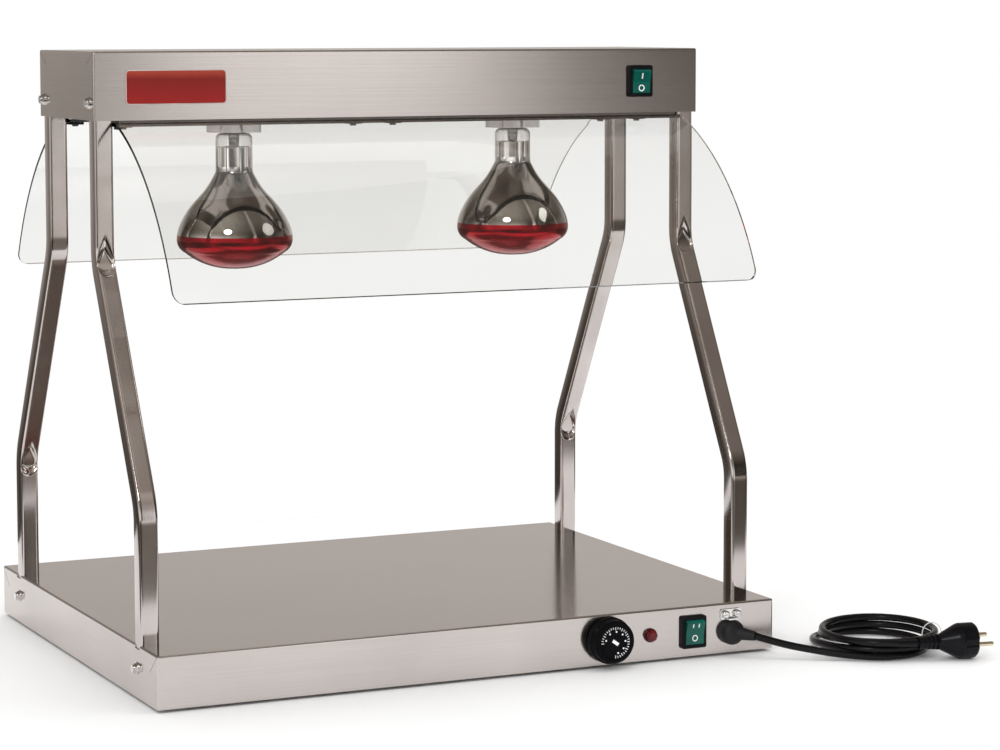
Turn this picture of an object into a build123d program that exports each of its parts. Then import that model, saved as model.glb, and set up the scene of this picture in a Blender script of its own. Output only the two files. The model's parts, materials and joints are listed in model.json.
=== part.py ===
from build123d import *
import math
import os

# Heat lamp warmer: a heated base plate and, on four bent legs, a hood with two infrared lamps
# between two curved glass guards. Millimetres, +X to the right, +Y to the back, +Z up.
# The origin is on the standing plane, under the middle of the base.

# Overall sizes
SHEET = 1.2                      # stainless sheet
BASE_LENGTH, BASE_DEPTH, BASE_HEIGHT = 700.0, 550.0, 54.0
FOOT_HEIGHT, FOOT_RADIUS = 3.0, 11.0
BASE_TOP = FOOT_HEIGHT + BASE_HEIGHT
HOOD_LENGTH = BASE_LENGTH + 2 * SHEET
HOOD_DEPTH, HOOD_HEIGHT = 190.0, 71.0
HOOD_BOTTOM = 579.0
HOOD_TOP = HOOD_BOTTOM + HOOD_HEIGHT
FRONT = -BASE_DEPTH / 2          # plane of the base's front face
HOOD_FRONT = -HOOD_DEPTH / 2
EDGE_RADIUS = 2.0                # outside radius of the folds
COVER_SCREWS = [(x, y) for x in (-290, 0, 290) for y in (-215, 215)]
ELEMENT_RADIUS = 3.2             # tubular heating element, pressed up under the base plate
ELEMENT_Z = BASE_TOP - SHEET - ELEMENT_RADIUS

# Legs: square tube with two bends
TUBE, TUBE_WALL, TUBE_CORNER = 20.0, 1.5, 2.5
LEG_X = BASE_LENGTH / 2 - SHEET - TUBE / 2
LEG_FOOT_Y, LEG_TOP_Y = 211.0, 80.0
LEG_LOW_BEND, LEG_HIGH_BEND = 194.0, 434.0
LEG_BEND_RADIUS = 60.0
LEG_FOOT_Z, LEG_TOP_Z = 5.0, 634.0
BASE_SCREW_Z, HOOD_SCREW_Z = 33.0, 597.0

# Lamps: R125 infrared reflector lamps with E27 caps
LAMP_X, LAMP_Y = 166.0, -3.0
LAMP_BOTTOM = {-1: 414.5, 1: 418.5}   # left and right: the bulbs differ a little in height
LAMP_RADIUS, NECK_RADIUS = 62.5, 19.9
WIDEST = 31.5                    # height of the bulb's widest place above its front
FRONT_ZONE = 36.5                # height of the red front of the bulb
BULB_TOP = 560.3                 # just below the brackets
CAP_RADIUS, CAP_HEIGHT = 13.2, 25.0
GLASS_WALL = 1.0

# Curved glass guards, hung under the hood's front and rear edges
GUARD_HALF_WIDTH, GUARD_THICKNESS = 328.0, 4.0
GUARD_TOP = 576.5                # upper face of the clamped strip
GUARD_CLAMP_DEPTH = 28.0         # strip under the hood, before the curve
GUARD_BEND_RADIUS, GUARD_BEND = 30.0, 22.0
GUARD_CURVE_RADIUS, GUARD_CURVE = 306.0, 45.7
GUARD_CORNER = 13.0
CLIP_X = (-316.0, -60.0, -14.0, 236.0, 281.0)

# Controls on the base's front face, and the lamp switch on the hood
KNOB_X, KNOB_Z, KNOB_RADIUS, KNOB_DEPTH = 148.5, 30.0, 24.8, 20.0
SHAFT_RADIUS, RUNNING_CLEARANCE = 3.0, 0.05
PILOT_X, PILOT_Z = 199.5, 30.0
BASE_SWITCH = (251.0, FRONT, 29.5)
HOOD_SWITCH = (279.0, HOOD_FRONT, 614.0)
BEZEL_WIDTH, BEZEL_HEIGHT, BEZEL_DEPTH = 29.5, 35.0, 5.0
ROCKER_WIDTH, ROCKER_RADIUS, ROCKER_TILT = 21.4, 14.0, 10.0
GLAND = (297.0, FRONT, 25.5)
GLAND_RADIUS = 13.6

# Supply cord: route of the loose stretch, then the coil and the plug on the floor
CORD_RADIUS = 4.0
CORD_ROUTE = [
    (315.0, -298.5, 23.0), (338.0, -314.5, 15.6), (364.0, -331.0, 10.4), (390.5, -349.5, 6.2),
    (417.0, -367.0, 4.2),
]
COIL_CENTRE, COIL_TURN = (456.0, -309.0), -26.3
COIL_OUTER, COIL_INNER, COIL_HEIGHT = (74.0, 82.0), (52.0, 60.0), 27.0
PLUG_START, PLUG_HEADING, PLUG_RADIUS = (464.0, -386.5, 19.0), -10.0, 19.0
PIN_RADIUS, PIN_LENGTH, PIN_SPACING = 2.4, 19.0, 19.0


def save(name, shape):
    """Write one named piece, as one solid or a group of separate solids."""
    solids = shape.solids()
    whole = solids[0] if len(solids) == 1 else Compound(children=list(solids))
    export_step(whole, f"parts/{name}.step")


def box(low, high):
    """A box between two opposite corners."""
    size = [b - a for a, b in zip(low, high)]
    middle = [(a + b) / 2 for a, b in zip(low, high)]
    return Pos(*middle) * Box(*size)


def rod(start, end, radius):
    """A round bar from one point to another."""
    start, end = Vector(*start), Vector(*end)
    plane = Plane(origin=start, z_dir=end - start)
    return extrude(plane * Circle(radius), (end - start).length)


def pipe(start, end, outer, inner):
    """A round bar with a bore right through it."""
    axis = (Vector(*end) - Vector(*start)).normalized()
    return rod(start, end, outer) - rod(Vector(*start) - axis, Vector(*end) + axis, inner)


def group(*shapes):
    """Separate solids that share one node."""
    return Compound(children=[s for shape in shapes for s in shape.solids()])


def folded_tray(length, depth, low, high, sheet, open_side):
    """A folded sheet box with its seams closed, open below or above."""
    outer = box((-length / 2, -depth / 2, low), (length / 2, depth / 2, high))
    rim = outer.faces().sort_by(Axis.Z)[-1 if open_side == "below" else 0].edges()
    outer = fillet(rim + outer.edges().filter_by(Axis.Z), EDGE_RADIUS)
    floor, roof = (low - 1, high - sheet) if open_side == "below" else (low + sheet, high + 1)
    x, y = length / 2 - sheet, depth / 2 - sheet
    return outer - box((-x, -y, floor), (x, y, roof))


def corner_seam(sx, sy, length, depth, top, drop):
    """Groove of the slanted seam where a box's end flap meets its corner."""
    run = 23
    slope = math.degrees(math.atan2(drop, run))
    place = Pos(sx * length / 2, sy * (depth - run) / 2, top - drop / 2)
    return place * Rot(sy * slope, 0, 0) * Box(0.8, math.hypot(run, drop), 0.7)


# ---------------------------------------------------------------- base
def base_shell():
    shell = folded_tray(BASE_LENGTH, BASE_DEPTH, FOOT_HEIGHT, BASE_TOP, SHEET, "below")
    hole = TUBE / 2 + 0.2
    for sx in (-1, 1):
        for sy in (-1, 1):
            x, y = sx * LEG_X, sy * LEG_FOOT_Y
            inner_x, outer_x = sorted((x - sx * hole, x + sx * TUBE / 2))
            shell -= box((inner_x, y - hole, BASE_TOP - 4), (outer_x, y + hole, BASE_TOP + 4))
            wall = sx * BASE_LENGTH / 2
            shell -= rod((wall - sx * 4, y, BASE_SCREW_Z), (wall + sx * 4, y, BASE_SCREW_Z), 3.2)
            # notch where the fold is cut away over the leg
            shell -= Pos(wall, y + sy * 1.5, BASE_TOP) * Box(6, 15, 8)
            shell -= corner_seam(sx, sy, BASE_LENGTH, BASE_DEPTH, BASE_TOP, 20)
    shell -= rod((KNOB_X, FRONT - 2, KNOB_Z), (KNOB_X, FRONT + 4, KNOB_Z), 5.2)
    shell -= rod((PILOT_X, FRONT - 2, PILOT_Z), (PILOT_X, FRONT + 4, PILOT_Z), 6.1)
    shell -= rod((GLAND[0], FRONT - 2, GLAND[2]), (GLAND[0], FRONT + 4, GLAND[2]), 9.9)
    shell -= switch_cutout(BASE_SWITCH)
    return shell


def base_bottom_cover():
    half_x, half_y = BASE_LENGTH / 2 - 1.5, BASE_DEPTH / 2 - 1.5
    low = FOOT_HEIGHT
    cover = box((-half_x, -half_y, low), (half_x, half_y, low + 1))
    for sy in (-1, 1):
        ends = sorted((sy * half_y, sy * (half_y - 1)))
        cover += box((-half_x + 25, ends[0], low + 1), (half_x - 25, ends[1], low + 7))
    # cooling slots under the controls
    for i in range(9):
        x = 120 + i * 22
        cover -= box((x - 2.5, -262, low - 1), (x + 2.5, -226, low + 2))
    for x, y in COVER_SCREWS:
        cover -= rod((x, y, low - 1), (x, y, low + 2), 2.2)
    return cover


def cover_standoffs():
    """Threaded posts that hold the cover to the element tray."""
    return group(*[
        rod((x, y, FOOT_HEIGHT + 1), (x, y, 25), 4.5) - rod((x, y, FOOT_HEIGHT), (x, y, 16), 2.0)
        for x, y in COVER_SCREWS
    ])


def cover_screws():
    low = FOOT_HEIGHT
    return group(*[
        rod((x, y, low - 1.6), (x, y, low), 3.6) + rod((x, y, low), (x, y, 14), 1.95)
        for x, y in COVER_SCREWS
    ])


def rubber_feet():
    feet = []
    for sx in (-1, 1):
        for sy in (-1, 1):
            foot = rod((sx * 310, sy * 235, 0), (sx * 310, sy * 235, FOOT_HEIGHT), FOOT_RADIUS)
            feet.append(chamfer(foot.edges().sort_by(Axis.Z)[0], 0.8))
    return group(*feet)


def element_tray():
    tray = folded_tray(624, 446, 25, 44.5, 0.8, "above")
    for x, y in COVER_SCREWS:
        tray -= rod((x, y, 24), (x, y, 27), 2.2)
    return tray


def insulation_blanket():
    blanket = box((-308, -205, 25.8), (308, 205, 43.5))
    return fillet(blanket.edges().filter_by(Axis.Z), 8)


def heating_element():
    """Tubular element laid to and fro under the plate, with a terminal post on each end."""
    rows = [-190 + 76 * i for i in range(6)]
    points = []
    for i, y in enumerate(rows):
        ends = (-285, 285) if i % 2 == 0 else (285, -285)
        points += [(ends[0], y, ELEMENT_Z), (ends[1], y, ELEMENT_Z)]
    path = FilletPolyline(*points, radius=37)
    start = Plane(origin=path @ 0, z_dir=path % 0)
    element = sweep(start * Circle(ELEMENT_RADIUS), path=path)
    for x, y, z in (points[0], points[-1]):
        element += rod((x, y, z), (x - 14, y, z), 1.6)
    return element


def element_clamps():
    """Spring straps that press the element up against the plate."""
    top = ELEMENT_Z - ELEMENT_RADIUS
    return group(*[box((x - 8, -200, top - 1), (x + 8, 200, top)) for x in (-200, 0, 200)])


# ---------------------------------------------------------------- thermostat
def thermostat_body():
    back = FRONT + SHEET
    body = box((KNOB_X - 18, back + 1, KNOB_Z - 16), (KNOB_X + 18, back + 30, KNOB_Z + 16))
    body = fillet(body.edges().filter_by(Axis.Y), 4)
    body += box((KNOB_X - 15, back, KNOB_Z - 13), (KNOB_X + 15, back + 1, KNOB_Z + 13))
    body += rod((KNOB_X, back + 1, KNOB_Z), (KNOB_X, FRONT - 0.6, KNOB_Z), 5.0)
    bore = SHAFT_RADIUS + RUNNING_CLEARANCE
    body -= rod((KNOB_X, FRONT - 5, KNOB_Z), (KNOB_X, FRONT + 12, KNOB_Z), bore)
    for x in (KNOB_X - 10, KNOB_X + 10):
        body += box((x - 3.1, back + 30, KNOB_Z + 6), (x + 3.1, back + 39, KNOB_Z + 6.8))
    return body


def thermostat_bulb():
    """Capillary from the thermostat to the bulb clipped under the plate."""
    back = FRONT + SHEET + 30
    under = ELEMENT_Z - ELEMENT_RADIUS - 2.2
    points = [
        (KNOB_X, back, KNOB_Z - 6), (KNOB_X, back + 9, KNOB_Z - 6), (KNOB_X + 8, back + 14, under - 2),
        (KNOB_X + 6, back + 34, under), (KNOB_X - 8, back + 72, under), (KNOB_X - 30, -152, ELEMENT_Z),
        (KNOB_X - 60, -152.4, ELEMENT_Z),
    ]
    path = FilletPolyline(*points, radius=5)
    line = sweep(Plane(origin=path @ 0, z_dir=path % 0) * Circle(0.9), path=path)
    return line + rod((KNOB_X - 59, -152.4, ELEMENT_Z), (-2, -152.4, ELEMENT_Z), 3.0)


def thermostat_shaft():
    return rod((KNOB_X, FRONT + 11, KNOB_Z), (KNOB_X, FRONT - 14, KNOB_Z), SHAFT_RADIUS)


def thermostat_knob():
    back, face = FRONT - 1.4, FRONT - KNOB_DEPTH
    r = KNOB_RADIUS
    outline = Polyline(
        (0, back), (r, back), (r, back - 7), (r - 1.0, back - 8), (r - 2.0, face + 2.5),
        (r - 4.0, face), (r - 7.0, face), (r - 8.0, face + 1.0), (0, face + 1.0), (0, back),
    )
    knob = revolve(make_face(Plane.XY * outline), Axis.Y)
    knob -= rod((0, back + 1, 0), (0, FRONT - 14, 0), SHAFT_RADIUS)
    # finger flutes round the skirt
    for i in range(40):
        a = math.radians(i * 9)
        x, z = (r + 0.25) * math.cos(a), (r + 0.25) * math.sin(a)
        knob -= rod((x, back + 1, z), (x, back - 7, z), 0.9)
    return Pos(KNOB_X, 0, KNOB_Z) * knob


# ---------------------------------------------------------------- pilot lamp
def pilot_lamp_body():
    bezel = rod((PILOT_X, FRONT - 2, PILOT_Z), (PILOT_X, FRONT, PILOT_Z), 7.6)
    barrel = rod((PILOT_X, FRONT, PILOT_Z), (PILOT_X, FRONT + 26, PILOT_Z), 5.9)
    bore = rod((PILOT_X, FRONT - 3, PILOT_Z), (PILOT_X, FRONT + 6, PILOT_Z), 5.0)
    body = chamfer(bezel.edges().sort_by(Axis.Y)[0], 0.8) + barrel - bore
    for x in (PILOT_X - 2.5, PILOT_X + 2.5):
        body += box((x - 0.4, FRONT + 26, PILOT_Z - 2), (x + 0.4, FRONT + 34, PILOT_Z + 2))
    return body


def pilot_lamp_lens():
    stem = rod((PILOT_X, FRONT + 5, PILOT_Z), (PILOT_X, FRONT - 2, PILOT_Z), 5.0)
    head = Plane(origin=(PILOT_X, FRONT - 2, PILOT_Z), z_dir=(0, -1, 0)) * RegularPolygon(6.4, 8)
    return stem + chamfer(extrude(head, 5.5).faces().sort_by(Axis.Y)[0].edges(), 1.8)


# ---------------------------------------------------------------- rocker switches
def switch_cutout(place):
    x, y, z = place
    return box((x - 13.4, y - 3, z - 15.7), (x + 13.4, y + 4, z + 15.7))


def switch_housing(place):
    x, y, z = place
    bezel = box((x - BEZEL_WIDTH / 2, y - BEZEL_DEPTH, z - BEZEL_HEIGHT / 2),
                (x + BEZEL_WIDTH / 2, y, z + BEZEL_HEIGHT / 2))
    bezel = fillet(bezel.edges().filter_by(Axis.Y), 2.5)
    bezel = chamfer(bezel.faces().sort_by(Axis.Y)[0].edges(), 1.0)
    body = box((x - 13.2, y, z - 15.5), (x + 13.2, y + 27, z + 15.5))
    half = ROCKER_WIDTH / 2 + 0.35
    well = rod((x - half, y, z), (x + half, y, z), ROCKER_RADIUS + 0.45)
    sockets = rod((x - half - 1.3, y, z), (x + half + 1.3, y, z), 1.5 + RUNNING_CLEARANCE)
    return bezel + body - well - sockets


def switch_rocker(place):
    """Rocker at rest, tilted to its off stop about the trunnions on its sides."""
    x, y, z = place
    half = ROCKER_WIDTH / 2
    drum = rod((-half, 0, 0), (half, 0, 0), ROCKER_RADIUS)
    reach = ROCKER_RADIUS
    side = Polyline((6, -reach), (6, reach), (-7.6, reach), (-5.8, 0), (-7.6, -reach), (6, -reach))
    wedge = extrude(Plane.YZ * make_face(side), half, both=True)
    rocker = drum & wedge
    rocker += rod((-half - 1.2, 0, 0), (half + 1.2, 0, 0), 1.5)
    return Pos(x, y, z) * Rot(ROCKER_TILT, 0, 0) * rocker


def switch_terminals():
    blades = []
    for x, y, z in (BASE_SWITCH, HOOD_SWITCH):
        for dx in (-6, 6):
            for dz in (-7, 7):
                blade = box((-0.4, 27, -3.1), (0.4, 36, 3.1))
                blades.append(Pos(x + dx, y, z + dz) * blade)
    return group(*blades)


# ---------------------------------------------------------------- cord entry
def cord_gland():
    x, y, z = GLAND
    profile = make_face(Plane.XY * (Polyline((0, 14), (0, 0), (GLAND_RADIUS, 0), (GLAND_RADIUS, 5))
                                    + ThreePointArc((GLAND_RADIUS, 5), (10.2, 12), (4, 14))
                                    + Line((4, 14), (0, 14))))
    dome = revolve(profile, Axis.Y)
    dome = Pos(x, y, z) * Rot(180, 0, 0) * dome
    stub = rod((x, y, z), (x, y + 15, z), 9.7) - rod((x, y + 4, z), (x, y + 16, z), 6.0)
    tip = Vector(*CORD_ROUTE[0])
    middle = Vector(x, y - 3, z)
    nose = Solid.make_cone(8.6, 4.9, (tip - middle).length, Plane(origin=middle, z_dir=tip - middle))
    return dome + stub + nose


def gland_nut():
    x, y, z = GLAND
    hexagon = Plane(origin=(x, y + SHEET, z), z_dir=(0, 1, 0)) * RegularPolygon(14, 6)
    return extrude(hexagon, 6) - rod((x, y, z), (x, y + 10, z), 9.7)


def cord_clamp():
    """Bright saddle above the gland, held by two screws."""
    x, y, z = GLAND
    plate = box((x - 12.5, y - 1.5, z + 13.8), (x + 12.5, y, z + 25))
    plate = fillet(plate.edges().filter_by(Axis.Y), 2.5)
    lip = box((x - 5, y - 7, z + 13.8), (x + 5, y - 1.5, z + 15.3))
    return plate + lip


def cord_clamp_screws():
    x, y, z = GLAND
    screws = []
    for dx in (-7, 7):
        head = rod((x + dx, y - 5.5, z + 19.5), (x + dx, y - 1.5, z + 19.5), 4.3)
        head = fillet(head.edges().sort_by(Axis.Y)[0], 1.5)
        slot = box((x + dx - 5, y - 6, z + 19.1), (x + dx + 5, y - 4.6, z + 19.9))
        screws.append(head - slot)
    return group(*screws)


def terminal_block():
    block = box((215, -238, 6), (275, -216, 24))
    for i in range(5):
        x = 221 + 12 * i
        block -= rod((x, -240, 14), (x, -214, 14), 2.6)
        block -= rod((x, -227, 14), (x, -227, 26), 2.0)
    return block + box((212, -234, 4), (278, -220, 6))


# ---------------------------------------------------------------- cord, coil and plug
def power_cord():
    points = [Vector(*p) for p in CORD_ROUTE]
    runs = [b - a for a, b in zip(points, points[1:])]
    radii = []
    for before, after in zip(runs, runs[1:]):
        turn = math.radians(before.get_angle(after))
        radii.append(0.45 * min(before.length, after.length) / math.tan(turn / 2))
    print("cord arc radii:", [round(r, 1) for r in radii])
    path = FilletPolyline(*points, radius=radii)
    cord = sweep(Plane(origin=path @ 0, z_dir=path % 0) * Circle(CORD_RADIUS), path=path)
    print("cord volume ratio:", round(cord.volume / (math.pi * CORD_RADIUS ** 2 * path.length), 4))
    return cord


def cord_coil():
    ring = extrude(Ellipse(*COIL_OUTER) - Ellipse(*COIL_INNER), COIL_HEIGHT)
    ring = fillet(ring.edges(), 5)
    return Pos(*COIL_CENTRE, 0) * Rot(0, 0, COIL_TURN) * ring


def plug_place():
    return Pos(*PLUG_START) * Rot(0, 0, PLUG_HEADING)


def plug_body():
    r = PLUG_RADIUS
    outline = Polyline(
        (0, 0), (0, 6.5), (24, 8.5), (42, r - 1.5), (46, r), (62, r), (64, r - 1.5), (64, 15),
        (58, 15), (58, 0), (0, 0),
    )
    body = revolve(make_face(outline), Axis.X)
    for i in range(4):
        body -= pipe((4 + 5 * i, 0, 0), (6 + 5 * i, 0, 0), 12, 6.6)
    for sign in (-1, 1):
        body -= box((48, sign * r - 3, -4), (65, sign * r + 3, 4))
    return plug_place() * body


def plug_pins():
    pins = []
    for sign in (-1, 1):
        y = sign * PIN_SPACING / 2 * math.cos(math.radians(20))
        z = sign * PIN_SPACING / 2 * math.sin(math.radians(20))
        pin = rod((58, y, z), (58 + PIN_LENGTH + 6, y, z), PIN_RADIUS)
        pins.append(fillet(pin.edges().sort_by(Axis.X)[-1], 1.6))
    return plug_place() * group(*pins)


# ---------------------------------------------------------------- legs
def leg(sx, sy):
    x = sx * LEG_X
    path = FilletPolyline(
        (x, sy * LEG_FOOT_Y, LEG_FOOT_Z), (x, sy * LEG_FOOT_Y, LEG_LOW_BEND),
        (x, sy * LEG_TOP_Y, LEG_HIGH_BEND), (x, sy * LEG_TOP_Y, LEG_TOP_Z), radius=LEG_BEND_RADIUS,
    )
    plane = Plane(origin=path @ 0, x_dir=(1, 0, 0), z_dir=(0, 0, 1))
    inside = TUBE - 2 * TUBE_WALL
    tube = sweep(plane * RectangleRounded(TUBE, TUBE, TUBE_CORNER), path=path)
    tube -= sweep(plane * RectangleRounded(inside, inside, TUBE_CORNER - TUBE_WALL), path=path)
    for y, z in leg_screw_places(sy):
        tube -= rod((x + sx * 5, y, z), (x + sx * 12, y, z), 4.4)
    return tube


def leg_screw_places(sy):
    return [(sy * LEG_FOOT_Y, BASE_SCREW_Z), (sy * LEG_TOP_Y, HOOD_SCREW_Z)]


def wall_face(sx, z):
    """X of the outer face of the base's or the hood's end wall at a height."""
    return sx * (BASE_LENGTH if z < HOOD_BOTTOM else HOOD_LENGTH) / 2


def leg_hardware():
    """Screws, washers and rivet nuts that hold the legs to the end walls."""
    screws, washers, nuts = [], [], []
    for sx in (-1, 1):
        for sy in (-1, 1):
            for y, z in leg_screw_places(sy):
                wall = wall_face(sx, z)
                washers.append(pipe((wall, y, z), (wall + sx, y, z), 6.5, 3.1))
                head = Plane(origin=(wall + sx, y, z), z_dir=(sx, 0, 0)) * RegularPolygon(5.4, 6)
                dome = rod((wall + 3 * sx, y, z), (wall + 5.2 * sx, y, z), 4.2)
                tip = sx * (LEG_X + 1)
                screws.append(extrude(head, 2.2) + dome + rod((wall + sx, y, z), (tip, y, z), 2.95))
                nuts.append(pipe((sx * (LEG_X + 3), y, z), (sx * (LEG_X + TUBE / 2), y, z), 4.4, 3.0))
    return {
        "leg_screws": group(*screws),
        "leg_screw_washers": group(*washers),
        "leg_rivet_nuts": group(*nuts),
    }


# ---------------------------------------------------------------- hood
def hood_shell():
    shell = folded_tray(HOOD_LENGTH, HOOD_DEPTH, HOOD_BOTTOM, HOOD_TOP, SHEET, "below")
    # corner tabs folded behind each end wall
    for sx in (-1, 1):
        wall = sx * (HOOD_LENGTH / 2 - SHEET)
        for sy in (-1, 1):
            x = sorted((wall, wall - sx * SHEET))
            y = sorted((sy * (HOOD_DEPTH / 2 - SHEET), sy * (HOOD_DEPTH / 2 - 36)))
            shell += box((x[0], y[0], HOOD_BOTTOM + 2), (x[1], y[1], HOOD_TOP - SHEET))
            outer, leg_y = wall_face(sx, HOOD_TOP), sy * LEG_TOP_Y
            shell -= rod((outer + sx, leg_y, HOOD_SCREW_Z), (wall - 4 * sx, leg_y, HOOD_SCREW_Z), 3.2)
            shell -= corner_seam(sx, sy, HOOD_LENGTH, HOOD_DEPTH, HOOD_TOP, 14)
    return shell - switch_cutout(HOOD_SWITCH)


def hood_bottom_plate():
    half_x, half_y = HOOD_LENGTH / 2 - 2 * SHEET - 0.4, HOOD_DEPTH / 2 - SHEET - 0.2
    low = HOOD_BOTTOM + 0.2
    plate = box((-half_x, -half_y, low), (half_x, half_y, low + SHEET))
    for sy in (-1, 1):
        y = sorted((sy * half_y, sy * (half_y - SHEET)))
        plate += box((-LEG_X + 15, y[0], low), (LEG_X - 15, y[1], low + 12))
    hole = TUBE / 2 + 0.3
    for sx in (-1, 1):
        plate -= rod((sx * LAMP_X, LAMP_Y, low - 1), (sx * LAMP_X, LAMP_Y, low + 3), 22.5)
        for sy in (-1, 1):
            x, y = sx * LEG_X, sy * LEG_TOP_Y
            ends = sorted((x - sx * hole, x + sx * 14))
            plate -= box((ends[0], y - hole, low - 1), (ends[1], y + hole, low + 14))
    # clear of the lamp switch behind the front wall
    x, _, z = HOOD_SWITCH
    return plate - box((x - 15, HOOD_FRONT, z - 17), (x + 15, HOOD_FRONT + 30, z + 17))


def lamp_bracket(sx):
    """Pressed cup that hangs the lampholder below the hood's bottom plate."""
    x, y = sx * LAMP_X, LAMP_Y
    low, rim = 561.0, HOOD_BOTTOM
    cup = box((x - 24, y - 24, low), (x + 24, y + 24, rim))
    cup = fillet(cup.edges().filter_by(Axis.Z), 5)
    cup -= box((x - 22.8, y - 22.8, low + SHEET), (x + 22.8, y + 22.8, rim + 1))
    flange = box((x - 34, y - 30, rim - 1.2), (x + 34, y + 30, rim)) - box((x - 22.8, y - 22.8, rim - 2),
                                                                        (x + 22.8, y + 22.8, rim + 1))
    bore = rod((x, y, low - 1), (x, y, low + 3), 18.5)
    slot = box((x - 1.5, y - 26, low - 1), (x + 1.5, y - 20, rim - 6))
    return cup + flange - bore - slot


def lampholder(sx):
    """Porcelain holder with a round body and a square foot."""
    x, y = sx * LAMP_X, LAMP_Y
    body = rod((x, y, 562.4), (x, y, 604), 20.5)
    body = fillet(body.edges().sort_by(Axis.Z)[-1], 3)
    body -= rod((x, y, 561), (x, y, 597), 14.6)
    return body + box((x - 12, y - 12, 604), (x + 12, y + 12, 614))


def lampholder_shells():
    """Threaded brass shells inside the porcelain."""
    y = LAMP_Y
    return group(*[
        rod((x, y, 566), (x, y, 592), 14.5) - rod((x, y, 565), (x, y, 593), 13.9)
        for x in (-LAMP_X, LAMP_X)
    ])


def bulb_face(height, inset):
    """Half section of the bulb, from its bottom to its shoulder, moved in by a wall thickness."""
    r, neck = LAMP_RADIUS - inset, NECK_RADIUS - inset
    rim = (54 - inset * 0.6, 17.5 + inset * 0.8)
    front = [
        ThreePointArc((0, inset), (31 - inset * 0.2, 4.5 + inset), rim),
        ThreePointArc(rim, (60.6 - inset, 24 + inset * 0.4), (r, WIDEST)),
    ]
    neck_start = 110
    flank = [(r, WIDEST), (57 - inset, 52), (48.5 - inset, 66), (38 - inset, 78), (28.2 - inset, 90),
             (21.6 - inset, 101.5), (neck, neck_start)]
    back = [Spline(*flank, tangents=((0, 1), (0, 1))), Line((neck, neck_start), (neck, height - 6)),
            ThreePointArc((neck, height - 6), (neck - 1.6, height - 2 - inset / 2),
                          (neck - 6, height - inset)),
            Line((neck - 6, height - inset), (0, height - inset)),
            Line((0, height - inset), (0, inset))]
    return make_face(Curve() + front + back)


def bulb(height):
    """Hollow glass envelope, standing on its front at the origin."""
    wall = bulb_face(height, 0) - bulb_face(height, GLASS_WALL)
    return revolve(Plane.XZ * wall, Axis.Z)


def lamp(sx):
    """The four pieces of one infrared lamp."""
    side = "left" if sx < 0 else "right"
    place = Pos(sx * LAMP_X, LAMP_Y, LAMP_BOTTOM[sx])
    front_half = box((-80, -80, -5), (80, 80, FRONT_ZONE))
    top = BULB_TOP - LAMP_BOTTOM[sx]
    envelope = bulb(top)
    cap = rod((0, 0, top), (0, 0, top + CAP_HEIGHT - 3), CAP_RADIUS)
    cap -= rod((0, 0, top - 1), (0, 0, top + 20), CAP_RADIUS - 0.8)
    cap += Solid.make_cone(CAP_RADIUS, 5, 3, Plane(origin=(0, 0, top + CAP_HEIGHT - 3)))
    cap += rod((0, 0, top + CAP_HEIGHT), (0, 0, top + CAP_HEIGHT + 1.5), 4.5)
    stem = Solid.make_cone(6, 3.5, 46, Plane(origin=(0, 0, top - 1), z_dir=(0, 0, -1)))
    wires = [rod((dx, 0, top - 46), (dx * 5, 0, 74), 0.8) for dx in (-2.4, 2.4)]
    coil = rod((-12.5, 0, 74), (12.5, 0, 74), 2.0)
    return {
        f"lamp_{side}_front": place * (envelope & front_half),
        f"lamp_{side}_reflector": place * (envelope - front_half),
        f"lamp_{side}_cap": place * cap,
        f"lamp_{side}_filament": place * (stem + wires[0] + wires[1] + coil),
    }


def badge():
    """Plain raised nameplate."""
    plate = box((-316, HOOD_FRONT - 1.6, 596), (-208, HOOD_FRONT, 630))
    plate = fillet(plate.edges().filter_by(Axis.Y), 3)
    return chamfer(plate.faces().sort_by(Axis.Y)[0].edges(), 0.5)


# ---------------------------------------------------------------- glass guards
def guard_strip(radius_step):
    """Points of one side of the guard's section, in (y, z), for a side this far outside its middle."""
    s = radius_step
    y0, z0 = HOOD_FRONT + 1.0, GUARD_TOP - GUARD_THICKNESS / 2
    start = (y0 + GUARD_CLAMP_DEPTH, z0 + s)
    bend_centre = (y0, z0 - GUARD_BEND_RADIUS)
    r = GUARD_BEND_RADIUS + s
    a, b = math.radians(GUARD_BEND / 2), math.radians(GUARD_BEND)
    points = [start, (y0, z0 + s)]
    points.append((bend_centre[0] - r * math.sin(a), bend_centre[1] + r * math.cos(a)))
    points.append((bend_centre[0] - r * math.sin(b), bend_centre[1] + r * math.cos(b)))
    gap = GUARD_CURVE_RADIUS - GUARD_BEND_RADIUS
    centre = (bend_centre[0] + gap * math.sin(b), bend_centre[1] - gap * math.cos(b))
    r = GUARD_CURVE_RADIUS + s
    for part in (0.5, 1.0):
        c = math.radians(GUARD_BEND + part * GUARD_CURVE)
        points.append((centre[0] - r * math.sin(c), centre[1] + r * math.cos(c)))
    return points


def front_glass_guard():
    outer, inner = guard_strip(GUARD_THICKNESS / 2), guard_strip(-GUARD_THICKNESS / 2)
    edges = []
    for side in (outer, inner):
        edges += [Line(side[0], side[1]), ThreePointArc(side[1], side[2], side[3]),
                  ThreePointArc(side[3], side[4], side[5])]
    edges += [Line(outer[0], inner[0]), Line(outer[5], inner[5])]
    section = Plane.YZ * make_face(Curve() + edges)
    sheet = extrude(section, GUARD_HALF_WIDTH, both=True)
    bottom = min(outer[5][1], inner[5][1])
    # rounded lower corners, cut square to the front
    for sx in (-1, 1):
        x, z = sx * GUARD_HALF_WIDTH, bottom
        ends = sorted((x, x - sx * GUARD_CORNER))
        corner = box((ends[0], -400, z - 4), (ends[1], -150, z + GUARD_CORNER))
        middle_x, middle_z = x - sx * GUARD_CORNER, z + GUARD_CORNER
        sheet -= corner - rod((middle_x, -401, middle_z), (middle_x, -149, middle_z), GUARD_CORNER)
    return sheet


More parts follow.
